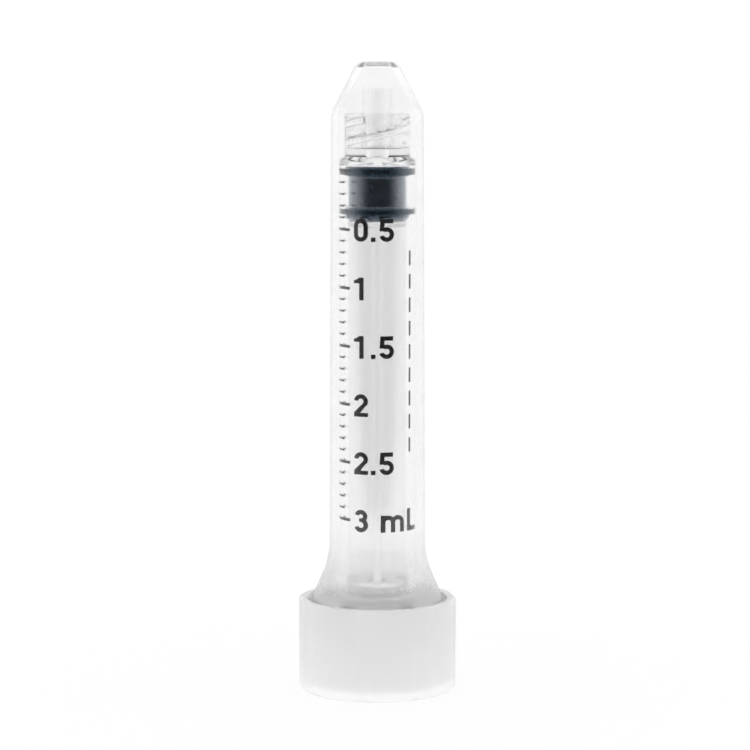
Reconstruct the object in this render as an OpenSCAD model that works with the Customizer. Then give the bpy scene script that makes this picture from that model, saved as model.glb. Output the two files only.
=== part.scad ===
// Capped 3 mL luer-lock syringe, standing on the end cap of its two-piece carrying case.
// Millimetres. The axis is Z, the case stands on Z = 0, and the printed scale faces -Y.

/* [Barrel] */
// Volume at the last printed line, in millilitres
capacity = 3; // [3:0.5:5]
// Bore of the barrel
barrel_bore = 8.94; // [7:0.02:12]
// Wall of the barrel
barrel_wall = 0.73; // [0.5:0.01:1.2]
// Thickness of the wall that closes the front of the barrel
end_wall = 1.1; // [0.8:0.1:2]
// Barrel between the last printed line and the finger flange
barrel_tail = 12.2; // [11:0.1:20]
// Finger flange across its two ears
flange_w = 16.8; // [14:0.1:22]
// Finger flange across its two straight sides
flange_d = 11.8; // [11:0.1:16]
// Thickness of the finger flange
flange_t = 1.2; // [0.8:0.1:2]
// Chamfer round the barrel's shoulder
shoulder_chamfer = 0.75; // [0.2:0.05:1]
// Height of the bead inside the open end that stops the plunger from pulling out
bead_h = 0.15; // [0.1:0.01:0.3]
// Height of the bead above the flange's lower face
bead_rise = 2.6; // [1.5:0.1:5]

/* [Luer tip and lock collar] */
// Diameter of the luer cone at its small end
luer_d = 3.96; // [3.9:0.01:4.1]
// Diameter growth of the luer cone per millimetre of length
luer_taper = 0.06; // [0.05:0.01:0.07]
// Length of the luer cone
luer_len = 8; // [7.5:0.1:10]
// Passage through the luer tip
luer_bore = 2.1; // [1:0.1:2.6]
// How far the luer tip stands out past the collar
luer_reach = 3.3; // [2.1:0.1:4]
// Diameter of the lock collar's thread at its root
thread_root_d = 8; // [7.9:0.05:8.2]
// Diameter of the lock collar's thread at its crest
thread_crest_d = 7; // [6.8:0.05:7.3]
// Advance of one of the two thread starts in a turn
thread_lead = 5; // [4:0.1:6]
// Wall of the lock collar behind the thread
collar_wall = 0.45; // [0.4:0.01:0.8]
// Width of a thread ridge at its root
ridge_root = 1.1; // [0.8:0.05:1.3]
// Width of a thread ridge at its crest
ridge_crest = 0.4; // [0.2:0.05:0.6]
// Plain stretch of collar below and above the thread
thread_margin = 0.75; // [0.6:0.05:1.2]

/* [Stopper] */
// Length of the stopper
stopper_len = 7.5; // [6:0.1:10]
// Depth of the groove between the stopper's two ribs
stopper_groove = 0.5; // [0.2:0.05:0.8]
// Length of the front rib
front_rib = 1.35; // [1:0.05:2]
// Length of the rear rib
rear_rib = 0.95; // [0.8:0.05:2]
// Length of the chamfered tail behind the rear rib
stopper_tail = 0.8; // [0.6:0.05:1.5]
// How far the rim of the stopper's rear face lies inside the ribs
stopper_tail_cut = 0.4; // [0.2:0.05:0.8]
// How far the centre of the stopper's front face rises above its edge
nose_rise = 0.4; // [0.1:0.05:0.8]
// Chamfer round the stopper's front face
nose_chamfer = 0.25; // [0.1:0.05:0.5]

/* [Plunger rod] */
// Diameter of the thumb rest
thumb_d = 12; // [10:0.5:15]
// Thickness of the thumb rest
thumb_t = 1.2; // [0.8:0.1:2]
// Gap between the thumb rest and the finger flange with the plunger pushed in
thumb_gap = 8.45; // [6:0.05:15]
// Thickness of the rod's four ribs
rib_t = 1; // [0.8:0.1:1.5]
// Depth of the rod's ribs short of the bore
rib_inset = 0.5; // [0.2:0.05:1]
// Thickness of the discs on the rod
disc_t = 0.8; // [0.6:0.1:1.5]
// Distance from the barrel's bead to the rod's guide disc
guide_rise = 1.4; // [0.6:0.1:5]
// Diameter of the rod's neck inside the stopper
neck_d = 3.2; // [2.4:0.1:4]
// Diameter of the rod's barbed head inside the stopper
head_d = 5; // [4:0.1:6]
// Length of the rod's neck
neck_len = 1.8; // [1.5:0.1:3]
// Length of the rod's barbed head
head_len = 2; // [1.5:0.1:3]

/* [Case] */
// Wall of the sheath
sheath_wall = 0.8; // [0.6:0.05:1.2]
// Growth of the sheath's radius from the conical end to the flare, so that it leaves its mould
sheath_draft = 0.29; // [0.1:0.01:0.5]
// Height of the conical end
cone_h = 6.9; // [5:0.1:10]
// Diameter of the blunt tip of the conical end
tip_d = 5.6; // [4:0.1:8]
// Space above the luer tip inside the sheath
tip_space = 2.9; // [1:0.1:6]
// Height of the flare
flare_h = 6.7; // [5:0.1:10]
// How far the flare starts below the finger flange's upper face
flare_drop = 0.4; // [0:0.1:1]
// Length of the sheath's mouth below the flare
mouth_len = 4.1; // [3:0.1:6]
// Wall of the cap at its rounded corners
cap_wall = 1.3; // [1:0.05:2]
// Depth by which the cap's flats are cut into its round
cap_flat_cut = 0.45; // [0.2:0.05:0.6]
// Floor of the cap
cap_floor = 1; // [0.8:0.1:2]
// Rim of the cap above the finger flange's upper face
rim_over_flange = 0.8; // [0.5:0.1:3]
// Turn of the cap's flats about the axis, in degrees
cap_turn = -10; // [-22:1:22]

/* [Printed scale] */
// Height of the numerals
digit_h = 3.1; // [2:0.1:4]
// Width of a numeral
digit_w = 1.98; // [1.4:0.02:2.4]
// Stroke of the numerals
stroke = 0.6; // [0.4:0.02:0.7]
// Height of the small letter of the unit
small_h = 2.35; // [1.6:0.05:3]
// Thickness of the 0.1 mL lines
minor_t = 0.24; // [0.15:0.01:0.4]
// Thickness of the 0.5 mL lines
major_t = 0.38; // [0.2:0.01:0.5]
// Thickness of the ink
ink_t = 0.05; // [0.03:0.01:0.1]
// Length of a plain dash beside the scale
dash_len = 2; // [1:0.1:2.6]
// Thickness of a plain dash
dash_t = 0.3; // [0.15:0.01:0.5]
// Distance from one plain dash to the next
dash_pitch = 3.2; // [2.8:0.1:4]

/* [Clearances] */
// Radial clearance of the stopper's ribs in the bore
rib_fit = 0.02; // [0.01:0.01:0.1]
// Radial clearance of the rod's head and neck in the stopper
head_fit = 0.05; // [0.02:0.01:0.1]
// Radial clearance of the sheath's mouth in the cap
mouth_fit = 0.05; // [0.02:0.01:0.1]
// Radial gap between the barrel and the narrow end of the sheath
sheath_gap = 0.34; // [0.3:0.02:0.8]
// Radial clearance of the rod's guide disc inside the bead
guide_fit = 0.12; // [0.05:0.01:0.3]
// Gap between pieces that rest on each other
seat_gap = 0.15; // [0.05:0.05:0.3]

/* [Hidden] */
$fn = 64;
ink = [0.05, 0.05, 0.06];

// Heights, from the table up
thumb_z = cap_floor + seat_gap;
flange_z = thumb_z + thumb_t + thumb_gap;
body_z = flange_z + flange_t;
full_z = body_z + barrel_tail;
bore_r = barrel_bore / 2;
ml_len = 1000 / (PI * bore_r * bore_r);
zero_z = full_z + capacity * ml_len;
stopper_lead = 0.6;
stopper_z = zero_z + stopper_lead;
front_z = stopper_z + seat_gap;
shoulder_z = front_z + end_wall;
collar_floor_z = shoulder_z + end_wall;
luer_top_z = collar_floor_z + luer_len;
collar_top_z = luer_top_z - luer_reach;
case_top_z = luer_top_z + tip_space + sheath_wall;
cone_z = case_top_z - cone_h;
flare_z = body_z - flare_drop;
mouth_z = flare_z - mouth_len;
cap_h = body_z + rim_over_flange;
rod_top_z = stopper_z - stopper_len;
push_disc_z = rod_top_z - disc_t;
bead_z = flange_z + bead_rise;
guide_z = bead_z + guide_rise;

// Radii
barrel_r = bore_r + barrel_wall;
collar_r = thread_root_d / 2 + collar_wall;
rib_r = bore_r - rib_fit;
rib_reach = bore_r - rib_inset;
sheath_top_r = barrel_r + sheath_gap + sheath_wall;
sheath_low_r = sheath_top_r + sheath_draft;
mouth_r = flange_w / 2 + sheath_gap + sheath_wall;
cap_bore_r = mouth_r + mouth_fit;
cap_r = cap_bore_r + cap_wall;

// Radius of the barbed head's tip, and thickness of its barb
barb_r = 0.8;
barb_t = 0.5;

// Chamfer that takes the sharpness off the thumb rest
edge = 0.3;

// Angles on the barrel, in degrees from the front, negative to the reader's left
mark_start = -74;
minor_end = -56;
major_end = -43.5;
dash_turn = 53.5;

// Small divisions from one longer line to the next, and in a millilitre
minor_steps = 5;
per_ml = 10;

// Left sides of the glyphs, round the barrel from the front, and widths of the unit's letters
digit_x = -3.22;
dot_x = digit_x + digit_w + 0.4;
second_x = dot_x + stroke + 0.48;
m_w = 3.3;
l_w = 2.15;
m_x = digit_x + digit_w + 1.71;
l_x = m_x + m_w + 0.64;

// Volume beside which the plain dashes start, and how many there are
dash_ml = 0.68;
dash_count = 9;

// ---------- case ----------

// Cup with eight shallow flats, so that the closed case doesn't roll
module case_cap() {
    foot_edge = 0.9;
    rim_edge = 0.45;
    color([0.93, 0.94, 0.95, 0.45])
    difference() {
        intersection() {
            rotate_extrude()
            polygon([[0, 0], [cap_r - foot_edge, 0], [cap_r - 0.3 * foot_edge, 0.3 * foot_edge],
                     [cap_r, foot_edge], [cap_r, cap_h - rim_edge], [cap_r - rim_edge, cap_h], [0, cap_h]]);
            rotate([0, 0, cap_turn])
            cylinder(r = (cap_r - cap_flat_cut) / cos(180 / 8), h = cap_h, $fn = 8);
        }
        translate([0, 0, cap_floor])
        cylinder(r = cap_bore_r, h = cap_h);
    }
}

// Tube with a blunt conical end and a flared mouth
module case_sheath() {
    slant = 0.09;
    soft = 0.35;
    color([0.95, 0.96, 0.97, 0.35])
    rotate_extrude()
    polygon([
        [0, case_top_z], [tip_d / 2 - soft, case_top_z], [tip_d / 2, case_top_z - 0.6 * soft],
        [sheath_top_r, cone_z], [sheath_low_r, flare_z + flare_h], [mouth_r, flare_z],
        [mouth_r, mouth_z], [mouth_r - sheath_wall, mouth_z],
        [mouth_r - sheath_wall, flare_z - slant], [sheath_low_r - sheath_wall, flare_z + flare_h - slant],
        [sheath_top_r - sheath_wall, cone_z - slant], [tip_d / 2 - sheath_wall, case_top_z - sheath_wall],
        [0, case_top_z - sheath_wall]]);
}

// ---------- syringe ----------

// Right-hand thread inside the collar: two ridges, half a turn apart, each a sweep of a trapezium
module lock_thread() {
    steps = 20;
    root = thread_root_d / 2 + 0.1;
    crest = thread_crest_d / 2;
    low = collar_floor_z + thread_margin;
    rise = collar_top_z - thread_margin - low;
    first = 17;
    function ring(i, start) =
        let (z = low + rise * i / steps, a = first + start + 360 * rise / thread_lead * i / steps)
        [for (p = [[root, -ridge_root / 2], [root, ridge_root / 2],
                   [crest, ridge_crest / 2], [crest, -ridge_crest / 2]])
            [p[0] * cos(a), p[0] * sin(a), z + p[1]]];
    for (start = [0, 180])
        polyhedron(
            points = [for (i = [0:steps]) each ring(i, start)],
            faces = concat(
                [[3, 2, 1, 0], [for (k = [0:3]) 4 * steps + k]],
                [for (i = [0:steps - 1], k = [0:3])
                    [4 * i + (k + 1) % 4, 4 * i + 4 + k, 4 * i + k]],
                [for (i = [0:steps - 1], k = [0:3])
                    [4 * i + 4 + (k + 1) % 4, 4 * i + 4 + k, 4 * i + (k + 1) % 4]]));
}

// Barrel, finger flange, luer tip and lock collar in one moulding
module barrel() {
    chamfer = max(0.05, min(shoulder_chamfer, barrel_r - collar_r));
    lead_in = 0.25;
    bead_half = 0.4;
    luer_low_r = (luer_d + luer_taper * luer_len) / 2;
    color([0.9, 0.94, 0.97, 0.35])
    difference() {
        union() {
            rotate_extrude()
            polygon([[0, flange_z], [barrel_r, flange_z], [barrel_r, shoulder_z - 0.6 * chamfer],
                     [barrel_r - chamfer, shoulder_z], [collar_r, shoulder_z], [collar_r, collar_top_z],
                     [thread_root_d / 2, collar_top_z], [thread_root_d / 2, collar_floor_z],
                     [luer_low_r, collar_floor_z], [luer_d / 2, luer_top_z], [0, luer_top_z]]);
            intersection() {
                translate([0, 0, flange_z])
                cylinder(d = flange_w, h = flange_t);
                translate([-flange_w / 2, -flange_d / 2, flange_z])
                cube([flange_w, flange_d, flange_t]);
            }
            lock_thread();
        }
        rotate_extrude()
        polygon([[0, flange_z - 1], [bore_r + lead_in, flange_z - 1], [bore_r + lead_in, flange_z],
                 [bore_r, flange_z + 2.4 * lead_in], [bore_r, bead_z - bead_half],
                 [bore_r - bead_h, bead_z], [bore_r, bead_z + bead_half], [bore_r, front_z],
                 [luer_bore / 2, front_z + nose_rise], [luer_bore / 2, luer_top_z + 1],
                 [0, luer_top_z + 1]]);
    }
}

// Rubber stopper with two sealing ribs and the socket for the rod's head
module stopper() {
    tail_z = rod_top_z + head_fit;
    rear_z = rod_top_z + stopper_tail;
    front_rib_z = stopper_z - front_rib;
    groove_r = rib_r - stopper_groove;
    groove_edge = 0.15;
    nose_r = 0.9;
    neck_r = neck_d / 2 + head_fit;
    head_r = head_d / 2 + head_fit;
    head_z = rod_top_z + neck_len - head_fit;
    socket_z = head_z + head_len + 3 * head_fit;
    color([0.07, 0.1, 0.14])
    rotate_extrude()
    polygon([
        [neck_r, tail_z], [rib_r - stopper_tail_cut, tail_z], [rib_r, rear_z],
        [rib_r, rear_z + rear_rib], [groove_r, rear_z + rear_rib + groove_edge],
        [groove_r, front_rib_z - groove_edge], [rib_r, front_rib_z], [rib_r, stopper_z - nose_chamfer],
        [rib_r - nose_chamfer, stopper_z], [nose_r, stopper_z + nose_rise], [0, stopper_z + nose_rise],
        [0, socket_z], [barb_r + head_fit, socket_z], [head_r, head_z + barb_t + 2 * head_fit],
        [head_r, head_z], [neck_r, head_z]]);
}

// Round plate that the thumb pushes
module thumb_rest() {
    r = thumb_d / 2;
    top = thumb_z + thumb_t;
    rotate_extrude()
    polygon([[0, thumb_z], [r - edge, thumb_z], [r, thumb_z + edge], [r, top - edge], [r - edge, top],
             [0, top]]);
}

// Four-ribbed rod with its thumb rest, discs and barbed head
module plunger_rod() {
    ribs_h = rod_top_z - thumb_z;
    barb_z = rod_top_z + neck_len;
    color([0.96, 0.97, 0.98, 0.7]) {
        intersection() {
            translate([0, 0, thumb_z])
            cylinder(r = rib_reach, h = ribs_h);
            union() {
                translate([-rib_reach, -rib_t / 2, thumb_z])
                cube([2 * rib_reach, rib_t, ribs_h]);
                translate([-rib_t / 2, -rib_reach, thumb_z])
                cube([rib_t, 2 * rib_reach, ribs_h]);
            }
        }
        thumb_rest();
        translate([0, 0, guide_z])
        cylinder(r = bore_r - bead_h - guide_fit, h = disc_t);
        translate([0, 0, push_disc_z])
        cylinder(r = rib_reach, h = disc_t);
        rotate_extrude()
        polygon([[0, push_disc_z], [neck_d / 2, push_disc_z], [neck_d / 2, barb_z], [head_d / 2, barb_z],
                 [head_d / 2, barb_z + barb_t], [barb_r, barb_z + head_len], [0, barb_z + head_len]]);
    }
}

// ---------- printed scale ----------

// Height of the line at a volume in millilitres
function mark_z(ml) = zero_z - ml * ml_len;

// Line of ink round the barrel, between two angles from the front
module mark(ml, to, thick) {
    translate([0, 0, mark_z(ml) - thick / 2])
    rotate([0, 0, mark_start - 90])
    rotate_extrude(angle = to - mark_start)
    translate([barrel_r, 0])
    square([ink_t, thick]);
}

module scale_minor_marks() {
    color(ink)
    for (i = [1:round(capacity * per_ml)])
        if (i % minor_steps != 0) mark(i / per_ml, minor_end, minor_t);
}

module scale_major_marks() {
    color(ink)
    for (i = [0:minor_steps:round(capacity * per_ml)]) mark(i / per_ml, major_end, major_t);
}

// Part of a flat ring between two angles
module arc(r, from, to) {
    far = 2 * r;
    intersection() {
        difference() {
            circle(r);
            circle(r - stroke);
        }
        polygon(concat([[0, 0]], [for (i = [0:8]) far * [cos(from + (to - from) * i / 8),
                                                         sin(from + (to - from) * i / 8)]]));
    }
}

// Glyphs stand on Y = 0 with their left side at X = 0
module glyph_0() {
    r = digit_w / 2;
    difference() {
        union() {
            translate([r, r]) circle(r);
            translate([r, digit_h - r]) circle(r);
            translate([0, r]) square([digit_w, digit_h - digit_w]);
        }
        translate([r, r]) circle(r - stroke);
        translate([r, digit_h - r]) circle(r - stroke);
        translate([stroke, r]) square([digit_w - 2 * stroke, digit_h - digit_w]);
    }
}

module glyph_1() {
    stem = 0.4 * digit_w;
    polygon([[stem, 0], [stem + stroke, 0], [stem + stroke, digit_h], [stem, digit_h],
             [0.2 * digit_w, 0.91 * digit_h], [0, 0.87 * digit_h], [0, 0.74 * digit_h],
             [stem, 0.74 * digit_h]]);
}

module glyph_2() {
    r = digit_w / 2;
    y = digit_h - r;
    translate([r, y]) arc(r, -38, 172);
    polygon([[0, 0.2 * stroke], [0.4 * digit_w, 0.6 * stroke], [0.94 * digit_w, y - 0.34 * r],
             [0.8 * digit_w, y], [0, stroke]]);
    square([digit_w, 0.92 * stroke]);
}

module glyph_3() {
    r = 0.29 * digit_h;
    low = digit_w / 2;
    translate([low, digit_h - r]) arc(r, -80, 165);
    translate([low, low]) arc(low, -160, 78);
    translate([0.38 * digit_w, 0.56 * digit_h - stroke / 2]) square([0.3 * digit_w, stroke * 0.85]);
}

module glyph_5() {
    r = digit_w / 2;
    translate([r, r]) arc(r, -165, 130);
    translate([0.08 * digit_w, digit_h - stroke]) square([0.86 * digit_w, stroke]);
    polygon([[0.02 * digit_w, 0.46 * digit_h], [0.08 * digit_w, digit_h], [0.08 * digit_w + stroke, digit_h],
             [0.02 * digit_w + stroke, 0.5 * digit_h], [0.3 * digit_w, 0.46 * digit_h]]);
}

module glyph_m() {
    r = (m_w + stroke) / 4;
    for (i = [0:2]) translate([i * (2 * r - stroke), 0]) square([stroke, small_h - (i == 0 ? 0 : r)]);
    for (i = [0:1]) translate([i * (2 * r - stroke) + r, small_h - r]) arc(r, 0, 155);
}

module glyph_l() {
    square([stroke, digit_h]);
    square([l_w, stroke]);
}

module glyph_dot() {
    square([stroke, stroke]);
}

// Presses a flat glyph of a given width onto the barrel, its left side at a distance round the barrel
// from the front and its middle height at a volume
module printed(ml, along, width) {
    turn = (along + width / 2) / barrel_r * 180 / PI;
    intersection() {
        rotate([0, 0, turn])
        translate([-width / 2, 0, mark_z(ml) - digit_h / 2])
        rotate([90, 0, 0])
        linear_extrude(2 * barrel_r)
        children();
        difference() {
            cylinder(r = barrel_r + ink_t, h = case_top_z);
            translate([0, 0, -1]) cylinder(r = barrel_r, h = case_top_z + 2);
        }
    }
}

module numeral_0_5() {
    color(ink) {
        printed(0.5, digit_x, digit_w) glyph_0();
        printed(0.5, dot_x, stroke) glyph_dot();
        printed(0.5, second_x, digit_w) glyph_5();
    }
}

module numeral_1() {
    color(ink) printed(1, digit_x, digit_w) glyph_1();
}

module numeral_1_5() {
    color(ink) {
        printed(1.5, digit_x, digit_w) glyph_1();
        printed(1.5, dot_x, stroke) glyph_dot();
        printed(1.5, second_x, digit_w) glyph_5();
    }
}

module numeral_2() {
    color(ink) printed(2, digit_x, digit_w) glyph_2();
}

module numeral_2_5() {
    color(ink) {
        printed(2.5, digit_x, digit_w) glyph_2();
        printed(2.5, dot_x, stroke) glyph_dot();
        printed(2.5, second_x, digit_w) glyph_5();
    }
}

module numeral_3() {
    color(ink) printed(3, digit_x, digit_w) glyph_3();
}

module unit_label() {
    color(ink) {
        printed(3, m_x, m_w) glyph_m();
        printed(3, l_x, l_w) glyph_l();
    }
}

// Plain dashes in one line down the reader's right
module side_dashes() {
    span = dash_t / barrel_r * 180 / PI;
    color(ink)
    for (i = [0:dash_count - 1])
        translate([0, 0, mark_z(dash_ml) - dash_len - i * dash_pitch])
        rotate([0, 0, dash_turn - 90 - span / 2])
        rotate_extrude(angle = span)
        translate([barrel_r, 0])
        square([ink_t, dash_len]);
}

case_cap();
case_sheath();
barrel();
stopper();
plunger_rod();
scale_minor_marks();
scale_major_marks();
numeral_0_5();
numeral_1();
numeral_1_5();
numeral_2();
numeral_2_5();
numeral_3();
unit_label();
side_dashes();
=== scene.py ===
"""Looks of a capped luer lock syringe, built as an add-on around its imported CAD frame.

Lengths are metres in the frame's own axes: Z is the axis of the syringe, the case stands on Z = 0 and the
printed scale faces -Y.
"""

from math import cos, pi, radians, sin, tau

import bmesh
import bpy
from bpy.props import FloatProperty, FloatVectorProperty, IntProperty, PointerProperty
from mathutils import Matrix, Vector


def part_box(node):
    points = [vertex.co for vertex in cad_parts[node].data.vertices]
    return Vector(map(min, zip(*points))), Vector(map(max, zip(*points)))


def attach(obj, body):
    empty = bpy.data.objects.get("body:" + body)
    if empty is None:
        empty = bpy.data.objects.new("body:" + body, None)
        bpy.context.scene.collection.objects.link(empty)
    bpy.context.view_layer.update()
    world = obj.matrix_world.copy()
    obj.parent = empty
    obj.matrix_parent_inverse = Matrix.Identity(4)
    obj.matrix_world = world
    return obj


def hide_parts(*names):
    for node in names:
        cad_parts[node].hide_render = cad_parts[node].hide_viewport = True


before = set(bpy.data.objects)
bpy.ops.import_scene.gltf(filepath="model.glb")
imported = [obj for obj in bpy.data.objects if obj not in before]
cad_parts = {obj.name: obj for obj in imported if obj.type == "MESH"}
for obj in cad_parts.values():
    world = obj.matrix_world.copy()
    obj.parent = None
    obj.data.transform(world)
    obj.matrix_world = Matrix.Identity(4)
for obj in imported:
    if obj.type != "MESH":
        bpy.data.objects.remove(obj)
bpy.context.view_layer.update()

bl_info = {
    "name": "Capped Luer Lock Syringe",
    "version": (1, 0, 0),
    "blender": (4, 5, 0),
    "location": "View3D > Sidebar > Syringe",
    "description": "Builds a luer lock syringe in its carrying case",
    "category": "Add Mesh",
}

MM = 0.001
GRAIN_GROUP = "Mould grain"
MARKS_GROUP = "Handling marks"
INK_NODES = sorted(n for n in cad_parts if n.startswith(("scale_", "numeral_", "unit_", "side_")))


# ---------- settings ----------


def length(name, description, default):
    """Property for a length, given in millimetres."""
    return FloatProperty(
        name=name, description=description, default=default * MM, min=0.0, precision=5,
        subtype="DISTANCE", unit="LENGTH",
    )


def colour(name, description, default):
    """Property for an opaque colour."""
    return FloatVectorProperty(
        name=name, description=description, default=(*default, 1.0), min=0.0, max=1.0, size=4,
        subtype="COLOR",
    )


def share(name, description, default):
    """Property for a share from 0 to 1."""
    return FloatProperty(
        name=name, description=description, default=default, min=0.0, max=1.0, subtype="FACTOR",
    )


class CaseSettings(bpy.types.PropertyGroup):
    """Sizes and colours of the two-piece carrying case."""

    wall: length("Sheath wall", "Wall of the sheath", 0.8)
    tip_width: length("Tip width", "Width of the blunt tip of the conical end", 5.6)
    cone_height: length("Cone height", "Height of the conical end", 6.9)
    shoulder_radius: length("Shoulder radius", "Outer radius below the conical end", 6.34)
    flare_radius: length("Flare radius", "Outer radius above the flare", 6.63)
    flare_top: length("Flare top", "Height at which the flare begins to widen", 18.3)
    flare_foot: length("Flare foot", "Height at which the flare has its full width", 11.6)
    cap_width: length("Cap width", "Width of the cap over its rounded corners", 21.78)
    cap_bore: length("Cap bore", "Width inside the cap", 19.18)
    cap_floor: length("Cap floor", "Thickness of the cap's floor", 1.0)
    flat_cut: length("Flat cut", "Depth by which the cap's flats are cut into its round", 0.45)
    flats: IntProperty(name="Flats", description="Number of flats round the cap", default=8, min=3, max=12)
    flat_turn: FloatProperty(
        name="Flat turn", description="Turn of the flats about the axis", default=radians(12.5),
        subtype="ANGLE", unit="ROTATION",
    )
    sheath_colour: colour("Sheath colour", "Tint of the sheath's clear plastic", (0.985, 0.986, 0.986))
    cap_colour: colour("Cap colour", "Tint of the cap's milky plastic", (1.0, 1.0, 1.0))
    cap_clarity: share("Cap clarity", "How much of the light the cap lets straight through", 0.55)


class SyringeSettings(bpy.types.PropertyGroup):
    """Sizes and colours of the barrel, the stopper, the rod and the print."""

    bore: length("Bore", "Diameter of the barrel's bore", 8.94)
    wall: length("Barrel wall", "Wall of the barrel", 0.73)
    end_wall: length("End wall", "Wall that closes the front of the barrel", 1.1)
    flange_thickness: length("Flange thickness", "Thickness of the finger flange", 1.2)
    luer_length: length("Luer length", "Length of the luer cone", 8.0)
    luer_reach: length("Luer reach", "How far the luer cone stands out past the collar", 3.3)
    luer_width: length("Luer width", "Diameter of the luer cone at its small end", 3.96)
    luer_bore: length("Luer bore", "Passage through the luer cone", 2.1)
    luer_taper: share("Luer taper", "Growth of the cone's diameter along its length", 0.06)
    thread_root: length("Thread root", "Diameter of the lock collar's thread at its root", 8.0)
    thread_crest: length("Thread crest", "Diameter of the lock collar's thread at its crest", 7.0)
    thread_lead: length("Thread lead", "Advance of one thread start in a turn", 5.0)
    collar_wall: length("Collar wall", "Wall of the lock collar", 0.45)
    bead: length("Bead", "Height of the bead inside the open end", 0.15)
    groove: length("Groove", "Depth of the groove between the stopper's ribs", 0.5)
    rib_thickness: length("Rib thickness", "Thickness of the rod's four ribs", 1.0)
    disc_thickness: length("Disc thickness", "Thickness of the discs on the rod", 0.8)
    thumb_thickness: length("Thumb thickness", "Thickness of the thumb rest", 1.2)
    barrel_colour: colour("Barrel colour", "Tint of the barrel's clear plastic", (1.0, 1.0, 1.0))
    rod_colour: colour("Rod colour", "Tint of the rod's plastic", (0.99, 0.991, 0.991))
    rod_clarity: share("Rod clarity", "How much of the light the rod lets straight through", 1.0)
    rubber_colour: colour("Rubber colour", "Colour of the stopper's rubber", (0.003, 0.012, 0.026))
    ink_colour: colour("Ink colour", "Colour of the printed scale", (0.006, 0.006, 0.007))


class StageSettings(bpy.types.PropertyGroup):
    """Floor, light and camera."""

    floor_front: length("Floor front", "How far the pale floor reaches in front of the axis", 150)
    floor_size: length("Floor size", "Width and depth of the pale floor", 4000)
    floor_glow: FloatProperty(
        name="Floor glow", description="Light that the floor gives off by itself", default=0.8, min=0.0,
    )
    backdrop: FloatProperty(
        name="Backdrop", description="Brightness of the room seen straight or through clear plastic",
        default=1.02, min=0.0,
    )
    front_light: share("Front light", "Brightness of the room in front, as seen in reflections", 0.012)
    side_light: FloatProperty(
        name="Side light", description="Brightness of the soft lights at both sides", default=1.1, min=0.0,
    )
    back_light: FloatProperty(
        name="Back light", description="Brightness of the back of the room, as seen in reflections",
        default=1.1, min=0.0,
    )
    lens: FloatProperty(name="Lens", description="Focal length", default=150, unit="CAMERA")
    distance: length("Distance", "Distance from the camera to its target", 430)
    side_shift: length("Side shift", "Distance of the axis from the middle of the view", 0.32)
    target_height: length("Target height", "Height that the camera looks at", 43.72)
    elevation: FloatProperty(
        name="Elevation", description="Height of the view above level", default=radians(6.8),
        subtype="ANGLE", unit="ROTATION",
    )


# ---------- mesh helpers ----------

MERGE_DISTANCE = 1e-7
PLANE_DISTANCE = 1e-8
CORNER_SEGMENTS = 5
CORNER_PROFILE = 0.5
BODY_STEPS = 128
CAP_STEPS = 160
DISC_STEPS = 96
HEAD_STEPS = 64
SHARP_EDGE = radians(40)


def draw_loop(bm, points, close=True):
    """Adds a chain of edges in the XZ plane.

    Each point gives a radius, a height and how far its rounding sets back from the corner.
    """
    corners = [bm.verts.new((r, 0.0, z)) for r, z, _ in points]
    for a, b in zip(corners, corners[1:]):
        bm.edges.new((a, b))
    if close:
        bm.edges.new((corners[-1], corners[0]))
    for corner, (_, _, setback) in zip(corners, points):
        if setback:
            bmesh.ops.bevel(
                bm, geom=[corner], offset=setback, offset_type="OFFSET", segments=CORNER_SEGMENTS,
                profile=CORNER_PROFILE, affect="VERTICES", material=-1,
            )


def lathe(points, steps=BODY_STEPS, close=True):
    """Closed mesh turned about Z from one outline. An open outline starts and ends on the axis."""
    bm = bmesh.new()
    draw_loop(bm, points, close)
    bmesh.ops.spin(
        bm, geom=bm.verts[:] + bm.edges[:], cent=(0, 0, 0), axis=(0, 0, 1), angle=tau, steps=steps,
        use_merge=True,
    )
    bmesh.ops.remove_doubles(bm, verts=bm.verts, dist=MERGE_DISTANCE)
    bmesh.ops.recalc_face_normals(bm, faces=bm.faces)
    return bm


def temporary_object(bm):
    """Puts a bmesh into an object that a modifier can read."""
    mesh = bpy.data.meshes.new("temporary")
    bm.to_mesh(mesh)
    bm.free()
    made = bpy.data.objects.new("temporary", mesh)
    bpy.context.scene.collection.objects.link(made)
    return made


def join_solids(first, *others):
    """One closed mesh from solids that overlap."""
    base = temporary_object(first)
    tools = [temporary_object(other) for other in others]
    for tool in tools:
        modifier = base.modifiers.new("Join", "BOOLEAN")
        modifier.operation = "UNION"
        modifier.solver = "EXACT"
        modifier.object = tool
    joined = bmesh.new()
    joined.from_object(base, bpy.context.evaluated_depsgraph_get())
    for spent in (base, *tools):
        mesh = spent.data
        bpy.data.objects.remove(spent)
        bpy.data.meshes.remove(mesh)
    bmesh.ops.remove_doubles(joined, verts=joined.verts, dist=MERGE_DISTANCE)
    return joined


def add_piece(name, bm, material, body, node, bevel=0.0):
    """Makes a finished piece that rides on a body and stands for a CAD node."""
    mesh = bpy.data.meshes.new(name)
    bm.to_mesh(mesh)
    bm.free()
    mesh.shade_smooth()
    mesh.materials.append(material)
    piece = bpy.data.objects.new(name, mesh)
    bpy.context.scene.collection.objects.link(piece)
    if bevel:
        rounding = piece.modifiers.new("Moulded edges", "BEVEL")
        rounding.width = bevel
        rounding.segments = 2
        rounding.limit_method = "ANGLE"
        rounding.angle_limit = SHARP_EDGE
    shading = piece.modifiers.new("Even shading", "WEIGHTED_NORMAL")
    shading.keep_sharp = True
    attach(piece, body)
    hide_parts(node)
    return piece


# ---------- material helpers ----------

# Grain: scale of its coarse blotches beside the fine ones, share of the fine ones, and the noise's reach.
COARSE_SCALE = 0.12
FINE_SHARE = 0.35
GRAIN_REACH = (0.45, 0.85)

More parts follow.
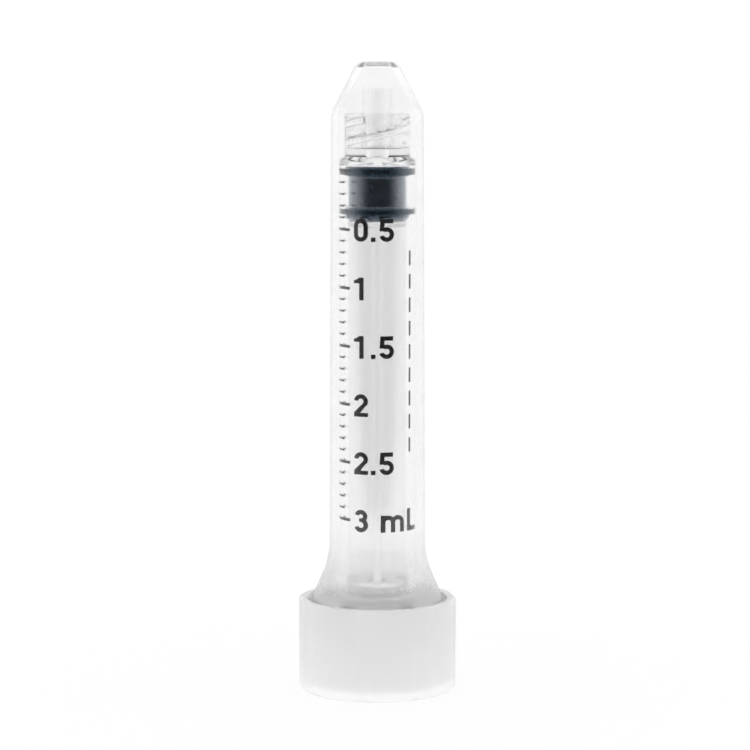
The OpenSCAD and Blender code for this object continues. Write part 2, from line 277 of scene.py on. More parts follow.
# Scuffs: scale and bend of the strokes, scale of the patches, and the levels between which each comes in.
STROKE_SCALE = 9000.0
STROKE_BEND = 0.4
STROKE_LEVELS = (0.66, 0.72)
PATCH_SCALE = 260.0
PATCH_LEVELS = (0.5, 0.62)

# Moulded plastic: the flow lines add to the depth that tints it, and the foot adds painted shade towards the
# floor.
PLASTIC_IOR = 1.49
PLASTIC_GRAIN = 2600.0
SKIN_HEIGHT = 0.02 * MM
SCUFF_ROUGHNESS = 0.12
EDGE_BLEND = 0.25
FLOW_SCALE = 90.0
FLOW_LEVELS = (0.35, 0.65)
FLOW_DEPTH = 0.15
FOOT_SHADE_DEPTH = 0.8

# Rubber: a bloom of a paler shade, and a film of oil that the bore has wiped off the ribs.
RUBBER_IOR = 1.9
RUBBER_TINT = (0.5, 0.75, 1.0, 1.0)
RUBBER_GRAIN = 4200.0
RUBBER_ROUGHNESS = (0.16, 0.3)
RUBBER_RELIEF = 0.25
BLOOM_LEVELS = (0.4, 0.9)
BLOOM_GAIN = 1.6
OIL_START = 0.3 * MM
OIL_END = 0.05 * MM
OIL_IOR = 2.4
OIL_TINT = (0.7, 0.88, 1.0, 1.0)
OIL_ROUGHNESS = 0.14

# Ink: where it lies thin it is paler and rougher.
INK_SCALE = 7000.0
INK_LEVELS = (0.56, 0.72)
INK_ROUGHNESS = (0.42, 0.65)
INK_RELIEF = 0.3
INK_HEIGHT = 0.01 * MM
THIN_INK = (0.16, 0.16, 0.165)


def new_group(name, inputs, outputs):
    """Shader node group with named sockets; returns it with its input and output nodes."""
    group = bpy.data.node_groups.new(name, "ShaderNodeTree")
    for label, kind, default in inputs:
        socket = group.interface.new_socket(label, in_out="INPUT", socket_type=kind)
        if default is not None:
            socket.default_value = default
    for label, kind in outputs:
        group.interface.new_socket(label, in_out="OUTPUT", socket_type=kind)
    return group, group.nodes.new("NodeGroupInput"), group.nodes.new("NodeGroupOutput")


def feed(tree, socket, value):
    """Links an output to a socket, or gives the socket a plain value."""
    if isinstance(value, bpy.types.NodeSocket):
        tree.links.new(value, socket)
    else:
        socket.default_value = value


def add_node(tree, kind, settings=None, **inputs):
    """Adds a node, sets its own settings and gives its inputs values or links."""
    node = tree.nodes.new(kind)
    for key, value in (settings or {}).items():
        setattr(node, key, value)
    for key, value in inputs.items():
        feed(tree, node.inputs[key.replace("_", " ")], value)
    return node


def math_node(tree, operation, first, second=0.0, third=0.0):
    """Output of one Math node; the third value is what is added last, or a comparison's tolerance."""
    node = add_node(tree, "ShaderNodeMath", {"operation": operation})
    for socket, value in zip(node.inputs, (first, second, third)):
        feed(tree, socket, value)
    return node.outputs[0]


def remap(tree, value, low, high, to_low, to_high):
    """Value carried from one range to another, clamped."""
    node = add_node(
        tree, "ShaderNodeMapRange", Value=value, From_Min=low, From_Max=high, To_Min=to_low, To_Max=to_high
    )
    return node.outputs["Result"]


def mix_colours(tree, factor, first, second):
    """Output of a node that blends two colours."""
    node = add_node(tree, "ShaderNodeMix", {"data_type": "RGBA"})
    sockets = {socket.identifier: socket for socket in (*node.inputs, *node.outputs)}
    feed(tree, sockets["Factor_Float"], factor)
    feed(tree, sockets["A_Color"], (*first[:3], 1.0))
    feed(tree, sockets["B_Color"], (*second[:3], 1.0))
    return sockets["Result_Color"]


def mould_grain_group():
    """Fine uneven skin of moulded plastic or rubber: a roughness that varies, and a height."""
    group, given, result = new_group(
        GRAIN_GROUP,
        [
            ("Scale", "NodeSocketFloat", 3000.0),
            ("Low", "NodeSocketFloat", 0.02),
            ("High", "NodeSocketFloat", 0.08),
        ],
        [("Roughness", "NodeSocketFloat"), ("Height", "NodeSocketFloat")],
    )
    place = add_node(group, "ShaderNodeTexCoord").outputs["Object"]
    scale = given.outputs["Scale"]
    coarse_scale = math_node(group, "MULTIPLY", scale, COARSE_SCALE)
    coarse = add_node(
        group, "ShaderNodeTexNoise", Vector=place, Scale=coarse_scale, Detail=3.0, Roughness=0.55
    )
    fine = add_node(group, "ShaderNodeTexNoise", Vector=place, Scale=scale, Detail=2.0, Roughness=0.5)
    blend = math_node(group, "MULTIPLY_ADD", fine.outputs["Fac"], FINE_SHARE, coarse.outputs["Fac"])
    rough = remap(group, blend, *GRAIN_REACH, given.outputs["Low"], given.outputs["High"])
    group.links.new(rough, result.inputs["Roughness"])
    group.links.new(blend, result.inputs["Height"])
    return group


def handling_marks_group():
    """Hair-fine scuffs of handling: a mask of short strokes along the axis, and a height."""
    group, given, result = new_group(
        MARKS_GROUP,
        [("Density", "NodeSocketFloat", 0.3), ("Length", "NodeSocketFloat", 0.12)],
        [("Mask", "NodeSocketFloat"), ("Height", "NodeSocketFloat")],
    )
    place = add_node(group, "ShaderNodeTexCoord").outputs["Object"]
    squeeze = add_node(group, "ShaderNodeCombineXYZ", X=1.0, Y=1.0, Z=given.outputs["Length"])
    stretched = add_node(group, "ShaderNodeVectorMath", {"operation": "MULTIPLY"})
    group.links.new(place, stretched.inputs[0])
    group.links.new(squeeze.outputs["Vector"], stretched.inputs[1])
    strokes = add_node(
        group, "ShaderNodeTexNoise", Vector=stretched.outputs["Vector"], Scale=STROKE_SCALE, Detail=1.0,
        Distortion=STROKE_BEND,
    )
    patches = add_node(group, "ShaderNodeTexNoise", Vector=place, Scale=PATCH_SCALE, Detail=2.0)
    thin = remap(group, strokes.outputs["Fac"], *STROKE_LEVELS, 0.0, 1.0)
    where = remap(group, patches.outputs["Fac"], *PATCH_LEVELS, 0.0, given.outputs["Density"])
    mask = math_node(group, "MULTIPLY", thin, where)
    group.links.new(mask, result.inputs["Mask"])
    group.links.new(math_node(group, "MULTIPLY", mask, -1.0), result.inputs["Height"])
    return group


def place_group(tree, group, **inputs):
    """Node that places a shared group, by its name, with its own values."""
    return add_node(tree, "ShaderNodeGroup", {"node_tree": bpy.data.node_groups[group]}, **inputs)


def new_material(name):
    """Empty node material; returns it with its tree and shader."""
    material = bpy.data.materials.new(name)
    material.use_nodes = True
    tree = material.node_tree
    return material, tree, tree.nodes["Principled BSDF"]


def clear_plastic(name, tint, clarity, roughness, relief, scuffs, edge_shade, frosts=(), foot=0.0):
    """Moulded transparent plastic, with grain in its roughness and relief, and faint scuffs.

    The tint is multiplied by the edge shade where light has further to go, in a wall seen edge on, and also
    towards the ground below the height of the foot, where this darkening is painted shade.
    Each frost gives the height at which the plastic starts to be rougher, the height at which that is
    full, and how much rougher it is there.
    """
    material, tree, shader = new_material(name)
    low, high = roughness
    skin = place_group(tree, GRAIN_GROUP, Scale=PLASTIC_GRAIN, Low=low, High=high)
    marks = place_group(tree, MARKS_GROUP, Density=scuffs)
    scuffed = math_node(tree, "MULTIPLY", marks.outputs["Mask"], SCUFF_ROUGHNESS)
    rough = math_node(tree, "ADD", skin.outputs["Roughness"], scuffed)
    place = add_node(tree, "ShaderNodeTexCoord").outputs["Object"]
    up = add_node(tree, "ShaderNodeSeparateXYZ", Vector=place).outputs["Z"]
    for start, full, extra in frosts:
        rough = math_node(tree, "ADD", rough, remap(tree, up, start, full, 0.0, extra))
    tree.links.new(rough, shader.inputs["Roughness"])
    height = math_node(tree, "ADD", skin.outputs["Height"], marks.outputs["Height"])
    bump = add_node(tree, "ShaderNodeBump", Strength=relief, Distance=SKIN_HEIGHT, Height=height)
    tree.links.new(bump.outputs["Normal"], shader.inputs["Normal"])
    flow = add_node(tree, "ShaderNodeTexNoise", Vector=place, Scale=FLOW_SCALE, Detail=2.0)
    edge = add_node(tree, "ShaderNodeLayerWeight", Blend=EDGE_BLEND).outputs["Facing"]
    depth_and_foot_shade = math_node(tree, "ADD", edge, remap(tree, flow.outputs["Fac"], *FLOW_LEVELS, 0.0, FLOW_DEPTH))
    # Painted shade: below the foot's height the tint darkens towards the floor.
    if foot:
        depth_and_foot_shade = math_node(tree, "ADD", depth_and_foot_shade, remap(tree, up, 0.0, foot, FOOT_SHADE_DEPTH, 0.0))
    shade = mix_colours(tree, depth_and_foot_shade, tint, [c * edge_shade for c in tint[:3]])
    tree.links.new(shade, shader.inputs["Base Color"])
    shader.inputs["IOR"].default_value = PLASTIC_IOR
    shader.inputs["Transmission Weight"].default_value = clarity
    return material


def stopper_rubber(settings):
    """Blue-black rubber, with a thin film of silicone oil in its groove."""
    material, tree, shader = new_material("stopper_rubber")
    low, high = RUBBER_ROUGHNESS
    skin = place_group(tree, GRAIN_GROUP, Scale=RUBBER_GRAIN, Low=low, High=high)
    tree.links.new(skin.outputs["Roughness"], shader.inputs["Roughness"])
    height = skin.outputs["Height"]
    bump = add_node(tree, "ShaderNodeBump", Strength=RUBBER_RELIEF, Distance=SKIN_HEIGHT, Height=height)
    tree.links.new(bump.outputs["Normal"], shader.inputs["Normal"])
    bloom = remap(tree, height, *BLOOM_LEVELS, 0.0, 1.0)
    paler = [BLOOM_GAIN * c for c in settings.rubber_colour[:3]]
    shade = mix_colours(tree, bloom, settings.rubber_colour, paler)
    tree.links.new(shade, shader.inputs["Base Color"])
    place = add_node(tree, "ShaderNodeTexCoord").outputs["Object"]
    across = add_node(tree, "ShaderNodeVectorMath", {"operation": "MULTIPLY"})
    tree.links.new(place, across.inputs[0])
    across.inputs[1].default_value = (1.0, 1.0, 0.0)
    radius = add_node(tree, "ShaderNodeVectorMath", {"operation": "LENGTH"})
    tree.links.new(across.outputs["Vector"], radius.inputs[0])
    bore = settings.bore / 2
    oiled = remap(tree, radius.outputs["Value"], bore - OIL_START, bore - OIL_END, 1.0, 0.0)
    tree.links.new(oiled, shader.inputs["Coat Weight"])
    shader.inputs["IOR"].default_value = RUBBER_IOR
    shader.inputs["Specular Tint"].default_value = RUBBER_TINT
    shader.inputs["Coat IOR"].default_value = OIL_IOR
    shader.inputs["Coat Tint"].default_value = OIL_TINT
    shader.inputs["Coat Roughness"].default_value = OIL_ROUGHNESS
    return material


def scale_ink(settings):
    """Printed ink that is uneven: paler and rougher where it lies thin."""
    material, tree, shader = new_material("scale_ink")
    place = add_node(tree, "ShaderNodeTexCoord").outputs["Object"]
    spots = add_node(tree, "ShaderNodeTexNoise", Vector=place, Scale=INK_SCALE, Detail=3.0, Roughness=0.6)
    level = spots.outputs["Fac"]
    thin = remap(tree, level, *INK_LEVELS, 0.0, 1.0)
    shade = mix_colours(tree, thin, settings.ink_colour, THIN_INK)
    tree.links.new(shade, shader.inputs["Base Color"])
    tree.links.new(remap(tree, thin, 0.0, 1.0, *INK_ROUGHNESS), shader.inputs["Roughness"])
    bump = add_node(tree, "ShaderNodeBump", Strength=INK_RELIEF, Distance=INK_HEIGHT, Height=level)
    tree.links.new(bump.outputs["Normal"], shader.inputs["Normal"])
    return material


# ---------- outlines and solids ----------


def sheath_outline(case):
    """Tube with a blunt conical end and a flared mouth, from the tip's outside round to its inside."""
    low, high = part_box("case_sheath")
    mouth, tip, wall = high.x, case.tip_width / 2, case.wall
    cone_z = high.z - case.cone_height
    # The inner corners sit lower than the outer ones, so that the wall stays as thick on its slopes.
    slant = 0.09 * MM
    return [
        (0.0, high.z, 0.0),
        (tip, high.z, 0.7 * MM),
        (case.shoulder_radius, cone_z, 0.9 * MM),
        (case.flare_radius, case.flare_top, 2.2 * MM),
        (mouth, case.flare_foot, 1.6 * MM),
        (mouth, low.z, 0.18 * MM),
        (mouth - wall, low.z, 0.18 * MM),
        (mouth - wall, case.flare_foot - slant, 1.5 * MM),
        (case.flare_radius - wall, case.flare_top - slant, 2.3 * MM),
        (case.shoulder_radius - wall, cone_z - slant, 0.8 * MM),
        (tip - wall, high.z - wall, 0.5 * MM),
        (0.0, high.z - wall, 0.0),
    ]


def cap_solid(case):
    """Cup with shallow flats round it."""
    _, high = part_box("case_cap")
    outer, bore = case.cap_width / 2, case.cap_bore / 2
    bm = lathe(
        [
            (0.0, 0.0, 0.0),
            (outer, 0.0, 0.9 * MM),
            (outer, high.z, 0.4 * MM),
            (bore, high.z, 0.25 * MM),
            (bore, case.cap_floor, 0.7 * MM),
            (0.0, case.cap_floor, 0.0),
        ],
        steps=CAP_STEPS,
        close=False,
    )
    flat = outer - case.flat_cut
    for i in range(case.flats):
        angle = case.flat_turn + tau * i / case.flats
        out = Vector((cos(angle), sin(angle), 0.0))
        bmesh.ops.bisect_plane(
            bm, geom=bm.verts[:] + bm.edges[:] + bm.faces[:], dist=PLANE_DISTANCE, plane_co=out * flat,
            plane_no=out,
        )
        for vert in bm.verts:
            beyond = vert.co.dot(out) - flat
            if beyond > 0:
                vert.co -= out * beyond
    return bm


def barrel_outline(syringe):
    """Barrel, round flange, end wall, luer cone and collar, as one closed outline."""
    low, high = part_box("barrel")
    bore = syringe.bore / 2
    outer = bore + syringe.wall
    flange_top = low.z + syringe.flange_thickness
    collar_floor = high.z - syringe.luer_length
    shoulder = collar_floor - syringe.end_wall
    front = shoulder - syringe.end_wall
    collar_top = high.z - syringe.luer_reach
    root = syringe.thread_root / 2
    luer = syringe.luer_width / 2
    passage = syringe.luer_bore / 2
    chamfer = 0.75 * MM
    bead_z = low.z + 2.6 * MM
    bead_slope = 0.4 * MM
    mouth_width = 0.25 * MM
    mouth_depth = 0.6 * MM
    end_slope = 0.4 * MM
    return [
        (bore + mouth_width, low.z, 0.12 * MM),
        (high.x, low.z, 0.3 * MM),
        (high.x, flange_top, 0.3 * MM),
        (outer, flange_top, 0.4 * MM),
        (outer, shoulder - 0.6 * chamfer, 0.3 * MM),
        (outer - chamfer, shoulder, 0.12 * MM),
        (root + syringe.collar_wall, shoulder, 0.15 * MM),
        (root + syringe.collar_wall, collar_top, 0.14 * MM),
        (root, collar_top, 0.14 * MM),
        (root, collar_floor, 0.2 * MM),
        (luer + syringe.luer_taper * syringe.luer_length / 2, collar_floor, 0.25 * MM),
        (luer, high.z, 0.15 * MM),
        (passage, high.z, 0.1 * MM),
        (passage, front + end_slope, 0.3 * MM),
        (bore, front, 0.2 * MM),
        (bore, bead_z + bead_slope, 0.2 * MM),
        (bore - syringe.bead, bead_z, 0.12 * MM),
        (bore, bead_z - bead_slope, 0.2 * MM),
        (bore, low.z + mouth_depth, 0.15 * MM),
    ]


def trim_flange(bm, half):
    """Cuts the round flange to two straight sides."""
    for side in (-1, 1):
        cut = bmesh.ops.bisect_plane(
            bm, geom=bm.verts[:] + bm.edges[:] + bm.faces[:], dist=PLANE_DISTANCE,
            plane_co=(0, side * half, 0), plane_no=(0, side, 0), clear_outer=True,
        )["geom_cut"]
        edges = [e for e in cut if isinstance(e, bmesh.types.BMEdge)]
        bmesh.ops.holes_fill(bm, edges=edges, sides=0)
    bmesh.ops.recalc_face_normals(bm, faces=bm.faces)


def thread_ridges(syringe):
    """Two ridges of the lock thread, half a turn apart, whose ends taper off into the wall."""
    _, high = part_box("barrel")
    root, crest = syringe.thread_root / 2, syringe.thread_crest / 2
    inset = 0.75 * MM
    low = high.z - syringe.luer_length + inset
    rise = syringe.luer_length - syringe.luer_reach - 2 * inset
    turn = tau * rise / syringe.thread_lead
    steps = 48
    first_start = radians(17)
    sunk = root + 0.1 * MM
    foot, edge, rounding = 0.55 * MM, 0.2 * MM, 0.06 * MM
    made = bmesh.new()
    for start in (first_start, first_start + pi):
        bm = bmesh.new()
        draw_loop(
            bm,
            [
                (sunk, low - foot, 0),
                (sunk, low + foot, 0),
                (crest, low + edge, rounding),
                (crest, low - edge, rounding),
            ],
        )
        first = bm.verts[:]
        last = bmesh.ops.spin(
            bm, geom=bm.verts[:] + bm.edges[:], cent=(0, 0, 0), axis=(0, 0, 1), dvec=(0, 0, rise / steps),
            angle=turn, steps=steps,
        )["geom_last"]
        for vert in first + [v for v in last if isinstance(v, bmesh.types.BMVert)]:
            reach = vert.co.xy.length
            if reach < root:
                vert.co.xy *= root / reach
        bmesh.ops.holes_fill(bm, edges=[e for e in bm.edges if e.is_boundary], sides=0)
        bmesh.ops.recalc_face_normals(bm, faces=bm.faces)
        bmesh.ops.rotate(bm, verts=bm.verts, cent=(0, 0, 0), matrix=Matrix.Rotation(start, 3, "Z"))
        part = bpy.data.meshes.new("ridge")
        bm.to_mesh(part)
        bm.free()
        made.from_mesh(part)
        bpy.data.meshes.remove(part)
    return made


def stopper_outline(syringe):
    """Rubber stopper with two ribs pressed against the bore, and the socket for the rod's head."""
    low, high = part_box("stopper")
    press = 0.012 * MM
    rib = syringe.bore / 2 + press
    groove = high.x - syringe.groove
    groove_slope = 0.15 * MM
    tail_taper = 0.4 * MM
    rear = low.z + 0.75 * MM
    rear_top = rear + 0.95 * MM
    nose_radius = 0.9 * MM
    front = high.z - 0.4 * MM
    front_edge = 0.25 * MM
    front_rib = front - 1.35 * MM
    neck, head, head_tip = 1.65 * MM, 2.55 * MM, 0.85 * MM
    head_z = low.z + 1.7 * MM
    head_side = 0.6 * MM
    head_height = 2.15 * MM
    return [
        (neck, low.z, 0.1 * MM),
        (high.x - tail_taper, low.z, 0.2 * MM),
        (rib, rear, 0.25 * MM),
        (rib, rear_top, 0.2 * MM),
        (groove, rear_top + groove_slope, 0.12 * MM),
        (groove, front_rib - groove_slope, 0.12 * MM),
        (rib, front_rib, 0.2 * MM),
        (rib, front - front_edge, 0.2 * MM),
        (rib - front_edge, front, 0.15 * MM),
        (nose_radius, high.z, 0.4 * MM),
        (0.0, high.z, 0.0),
        (0.0, head_z + head_height, 0.0),
        (head_tip, head_z + head_height, 0.15 * MM),
        (head, head_z + head_side, 0.1 * MM),
        (head, head_z, 0.1 * MM),
        (neck, head_z, 0.1 * MM),
    ]


def rib_cross(syringe, low, high):
    """Four ribs in a cross, raised from a grid whose corner cells are cut away."""
    bore_gap = 0.52 * MM
    reach = syringe.bore / 2 - bore_gap
    half = syringe.rib_thickness / 2
    bm = bmesh.new()
    bmesh.ops.create_grid(bm, x_segments=3, y_segments=3, size=reach)
    # The grid's inner lines move to the sides of the ribs.
    for vert in bm.verts:
        for axis in (0, 1):
            if abs(vert.co[axis]) < reach / 2:
                vert.co[axis] = half if vert.co[axis] > 0 else -half
    corners = [f for f in bm.faces if min(abs(c) for c in f.calc_center_median().xy) > half]
    bmesh.ops.delete(bm, geom=corners, context="FACES")
    bmesh.ops.translate(bm, verts=bm.verts, vec=(0, 0, low))
    raised = bmesh.ops.extrude_face_region(bm, geom=bm.faces[:], use_keep_orig=True)["geom"]
    top = [v for v in raised if isinstance(v, bmesh.types.BMVert)]
    bmesh.ops.translate(bm, verts=top, vec=(0, 0, high - low))
    bmesh.ops.recalc_face_normals(bm, faces=bm.faces)
    return bm


def disc(radius, low, high, rounding):
    """Round plate about the axis."""
    outline = [(0, low, 0), (radius, low, rounding), (radius, high, rounding), (0, high, 0)]
    return lathe(outline, steps=DISC_STEPS, close=False)


def rod_solid(syringe):
    """Four-ribbed rod with its thumb rest, two discs and barbed head."""
    low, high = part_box("plunger_rod")
    stopper_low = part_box("stopper")[0].z
    flange_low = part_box("barrel")[0].z
    bore = syringe.bore / 2
    stopper_gap = 0.05 * MM
    rod_top = stopper_low - stopper_gap
    guide = flange_low + 4.0 * MM
    guide_radius = bore - syringe.bead - 0.12 * MM
    push_radius = bore - 0.5 * MM
    disc_rounding = 0.1 * MM
    thick = syringe.disc_thickness
    neck, head, head_tip = 1.6 * MM, 2.5 * MM, 0.8 * MM
    neck_foot = rod_top - 0.4 * MM
    barb = rod_top + 1.8 * MM
    barb_side = 0.5 * MM
    head_top = barb + 2.0 * MM
    thumb = high.x
    thumb_top = low.z + syringe.thumb_thickness
    dish = low.z + 0.12 * MM
    dish_radius, dish_mouth = thumb - 1.5 * MM, thumb - 1.3 * MM
    thumb_rest = lathe(
        [
            (0.0, dish, 0.0),
            (dish_radius, dish, 0.1 * MM),
            (dish_mouth, low.z, 0.05 * MM),
            (thumb, low.z, 0.35 * MM),
            (thumb, thumb_top, 0.35 * MM),
            (0.0, thumb_top, 0.0),
        ],
        steps=DISC_STEPS,
        close=False,
    )
    barbed_head = lathe(
        [
            (0.0, neck_foot, 0.0),
            (neck, neck_foot, 0.0),
            (neck, barb, 0.1 * MM),
            (head, barb, 0.08 * MM),
            (head, barb + barb_side, 0.1 * MM),
            (head_tip, head_top, 0.1 * MM),
            (0.0, head_top, 0.0),
        ],
        steps=HEAD_STEPS,
        close=False,
    )
    # The ribs end inside the thumb rest and inside the push disc.
    ribs = rib_cross(syringe, low.z + 0.6 * MM, rod_top - 0.3 * MM)
    return join_solids(
        ribs,
        thumb_rest,
        disc(guide_radius, guide, guide + thick, disc_rounding),
        disc(push_radius, rod_top - thick, rod_top, disc_rounding),
        barbed_head,
    )


# ---------- operators ----------


class SYRINGE_OT_finishes(bpy.types.Operator):
    """Makes the node groups that the finishes share"""

    bl_idname = "syringe.finishes"
    bl_label = "Shared finishes"

    def execute(self, context):
        mould_grain_group()
        handling_marks_group()
        return {"FINISHED"}


class SYRINGE_OT_sheath(bpy.types.Operator):
    """Builds the clear sheath of the case"""

    bl_idname = "syringe.sheath"
    bl_label = "Sheath"

    def execute(self, context):
        case = context.scene.syringe_case
        cone_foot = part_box("case_sheath")[1].z - case.cone_height
        material = clear_plastic(
            "sheath_plastic", case.sheath_colour, clarity=1.0, roughness=(0.09, 0.14), relief=0.08,
            scuffs=0.25, edge_shade=0.97,
            frosts=[
                (cone_foot - 1 * MM, cone_foot + 1 * MM, 0.06),
                (case.flare_top + 4 * MM, case.flare_foot, 0.22),
            ],
        )
        shell = lathe(sheath_outline(case), close=False)
        add_piece("sheath_shell", shell, material, "case_sheath", "case_sheath")
        return {"FINISHED"}


class SYRINGE_OT_cap(bpy.types.Operator):
    """Builds the milky end cap that the case stands on"""

    bl_idname = "syringe.cap"
    bl_label = "End cap"

    def execute(self, context):
        case = context.scene.syringe_case
        # The cap's foot darkens its tint towards the floor as painted shade.
        material = clear_plastic(
            "cap_plastic", case.cap_colour, clarity=case.cap_clarity, roughness=(0.5, 0.6), relief=0.15,
            scuffs=0.4, edge_shade=0.995, foot=3.5 * MM,
        )
        add_piece("cap_shell", cap_solid(case), material, "case_cap", "case_cap")
        return {"FINISHED"}


class SYRINGE_OT_barrel(bpy.types.Operator):
    """Builds the barrel with its flange, luer cone and threaded collar"""

    bl_idname = "syringe.barrel"
    bl_label = "Barrel"

    def execute(self, context):
        syringe = context.scene.syringe_parts
        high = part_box("barrel")[1]
        collar_floor = high.z - syringe.luer_length
        material = clear_plastic(
            "barrel_plastic", syringe.barrel_colour, clarity=1.0, roughness=(0.01, 0.035), relief=0.06,
            scuffs=0.15, edge_shade=1.0,
            frosts=[(collar_floor - 3 * MM, collar_floor - 1 * MM, 0.03)],
        )
        tube = lathe(barrel_outline(syringe))
        trim_flange(tube, high.y)
        solid = join_solids(tube, thread_ridges(syringe))
        add_piece("barrel_shell", solid, material, "barrel", "barrel")
        return {"FINISHED"}


class SYRINGE_OT_stopper(bpy.types.Operator):
    """Builds the rubber stopper"""

    bl_idname = "syringe.stopper"
    bl_label = "Stopper"

    def execute(self, context):
        syringe = context.scene.syringe_parts
        add_piece(
            "rubber_stopper", lathe(stopper_outline(syringe)), stopper_rubber(syringe), "stopper",
            "stopper",
        )
        return {"FINISHED"}


class SYRINGE_OT_rod(bpy.types.Operator):
    """Builds the ribbed plunger rod"""

    bl_idname = "syringe.rod"
    bl_label = "Plunger rod"

    def execute(self, context):
        syringe = context.scene.syringe_parts
        material = clear_plastic(
            "rod_plastic", syringe.rod_colour, clarity=syringe.rod_clarity, roughness=(0.06, 0.12),
            relief=0.12, scuffs=0.3, edge_shade=0.88,
        )
        add_piece(
            "ribbed_rod", rod_solid(syringe), material, "plunger_rod", "plunger_rod",
            bevel=0.08 * MM,
        )
        return {"FINISHED"}


class SYRINGE_OT_print(bpy.types.Operator):
    """Inks the printed scale"""

    bl_idname = "syringe.print"
    bl_label = "Printed scale"

    def execute(self, context):
        ink = scale_ink(context.scene.syringe_parts)
        for name in INK_NODES:
            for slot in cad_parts[name].material_slots:
                slot.material = ink
        return {"FINISHED"}


FLOOR_GREY = (0.2, 0.2, 0.2, 1.0)
WHITE = (1.0, 1.0, 1.0, 1.0)
ROOM_TURN = radians(-4)

# Parts of the room, by a direction's Y or by its rise: from where each starts to where it is full.
SIDES = (-0.8, 0.1)
BACK = (0.55, 0.8)
STEEP = (0.3, 0.6)
HALF_BOUNCE = 0.5

CLEAR_BOUNCES = 32
OTHER_BOUNCES = 16
NEAR_CLIP = 0.01
FAR_CLIP = 10.0


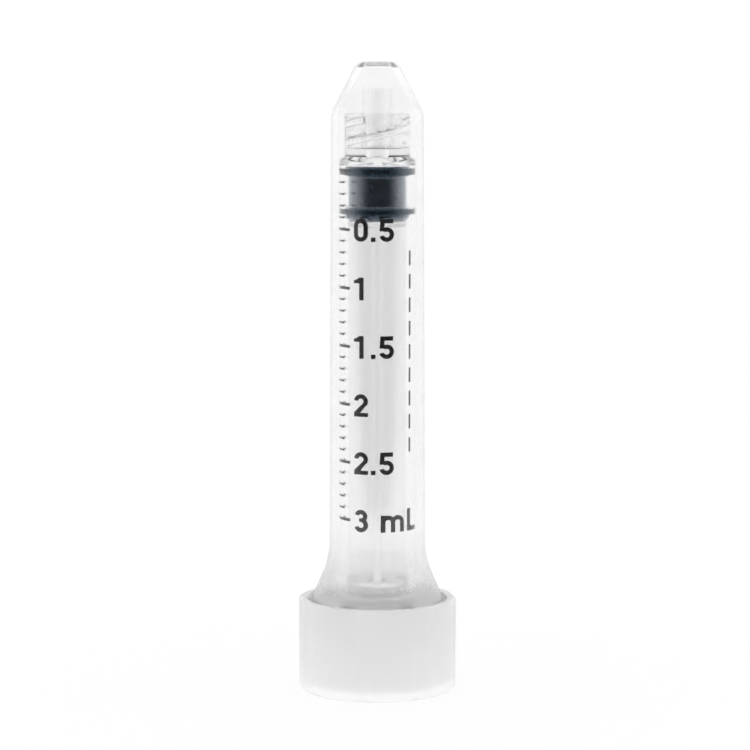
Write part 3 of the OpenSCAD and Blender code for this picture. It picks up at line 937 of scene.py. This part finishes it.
class SYRINGE_OT_stage(bpy.types.Operator):
    """Sets the pale floor, the soft light all round and the camera"""

    bl_idname = "syringe.stage"
    bl_label = "Stage"

    def execute(self, context):
        stage = context.scene.syringe_stage
        self.lay_floor(stage)
        self.light_room(context.scene, stage)
        self.set_camera(context.scene, stage)
        return {"FINISHED"}

    def lay_floor(self, stage):
        """Pale floor that gives off some light by itself."""
        bm = bmesh.new()
        half = stage.floor_size / 2
        bmesh.ops.create_grid(bm, x_segments=1, y_segments=1, size=half)
        bmesh.ops.translate(bm, verts=bm.verts, vec=(0.0, half - stage.floor_front, 0.0))
        mesh = bpy.data.meshes.new("floor")
        bm.to_mesh(mesh)
        bm.free()
        floor = bpy.data.objects.new("floor", mesh)
        bpy.context.scene.collection.objects.link(floor)
        material, tree, shader = new_material("pale_floor")
        shader.inputs["Base Color"].default_value = FLOOR_GREY
        shader.inputs["Roughness"].default_value = 1.0
        shader.inputs["Specular IOR Level"].default_value = 0.0
        shader.inputs["Emission Color"].default_value = WHITE
        shader.inputs["Emission Strength"].default_value = stage.floor_glow
        mesh.materials.append(material)

    def light_room(self, scene, stage):
        """White for every light path but one that was mirrored just once and never scattered.

        Such a path sees a room that is dim in front and bright at its sides, its back, high up and low down.
        """
        world = bpy.data.worlds.new("studio")
        world.use_nodes = True
        scene.world = world
        tree = world.node_tree
        path = add_node(tree, "ShaderNodeLightPath")
        turned = add_node(tree, "ShaderNodeVectorRotate", {"rotation_type": "Z_AXIS"}, Angle=ROOM_TURN)
        tree.links.new(add_node(tree, "ShaderNodeTexCoord").outputs["Generated"], turned.inputs["Vector"])
        way = add_node(tree, "ShaderNodeSeparateXYZ", Vector=turned.outputs["Vector"])
        along = way.outputs["Y"]
        sides = remap(tree, along, *SIDES, stage.front_light, stage.side_light)
        rise = math_node(tree, "ABSOLUTE", way.outputs["Z"])
        steep = remap(tree, rise, *STEEP, 0.0, stage.back_light)
        around = math_node(tree, "MAXIMUM", sides, steep)
        back = remap(tree, along, *BACK, stage.side_light, stage.back_light)
        room = math_node(tree, "MINIMUM", around, back)
        mirrored = math_node(tree, "COMPARE", path.outputs["Glossy Depth"], 1.0, HALF_BOUNCE)
        direct = math_node(tree, "LESS_THAN", path.outputs["Diffuse Depth"], HALF_BOUNCE)
        seen = math_node(tree, "MULTIPLY", mirrored, direct)
        background = tree.nodes["Background"]
        background.inputs["Color"].default_value = WHITE
        strength = remap(tree, seen, 0.0, 1.0, stage.backdrop, room)
        tree.links.new(strength, background.inputs["Strength"])
        scene.view_settings.view_transform = "Standard"
        scene.cycles.max_bounces = CLEAR_BOUNCES
        scene.cycles.transmission_bounces = CLEAR_BOUNCES
        scene.cycles.glossy_bounces = OTHER_BOUNCES
        scene.cycles.diffuse_bounces = OTHER_BOUNCES

    def set_camera(self, scene, stage):
        """Long lens that looks slightly down at the middle of the syringe."""
        data = bpy.data.cameras.new("camera")
        data.lens = stage.lens
        data.clip_start = NEAR_CLIP
        data.clip_end = FAR_CLIP
        camera = bpy.data.objects.new("camera", data)
        scene.collection.objects.link(camera)
        target = Vector((-stage.side_shift, 0.0, stage.target_height))
        back = Vector((0.0, -cos(stage.elevation), sin(stage.elevation)))
        camera.location = target + back * stage.distance
        camera.rotation_euler = (-back).to_track_quat("-Z", "Y").to_euler()
        scene.camera = camera


class SYRINGE_PT_panel(bpy.types.Panel):
    """Settings and pieces of the syringe"""

    bl_idname = "SYRINGE_PT_panel"
    bl_label = "Capped syringe"
    bl_space_type = "VIEW_3D"
    bl_region_type = "UI"
    bl_category = "Syringe"

    def draw(self, context):
        for operator in OPERATORS:
            self.layout.operator(operator.bl_idname)
        for group in SETTINGS:
            settings = getattr(context.scene, group)
            column = self.layout.column(align=True)
            for name in settings.__annotations__:
                column.prop(settings, name)


SETTINGS = {"syringe_case": CaseSettings, "syringe_parts": SyringeSettings, "syringe_stage": StageSettings}
OPERATORS = (
    SYRINGE_OT_finishes,
    SYRINGE_OT_sheath,
    SYRINGE_OT_cap,
    SYRINGE_OT_barrel,
    SYRINGE_OT_stopper,
    SYRINGE_OT_rod,
    SYRINGE_OT_print,
    SYRINGE_OT_stage,
)
CLASSES = (*SETTINGS.values(), *OPERATORS, SYRINGE_PT_panel)


def register():
    for cls in CLASSES:
        bpy.utils.register_class(cls)
    for name, cls in SETTINGS.items():
        setattr(bpy.types.Scene, name, PointerProperty(type=cls))


def unregister():
    for name in SETTINGS:
        delattr(bpy.types.Scene, name)
    for cls in reversed(CLASSES):
        bpy.utils.unregister_class(cls)


def main():
    """Builds every piece in order."""
    register()
    for operator in OPERATORS:
        getattr(bpy.ops.syringe, operator.bl_idname.split(".")[1])()


if __name__ == "__main__":
    main()
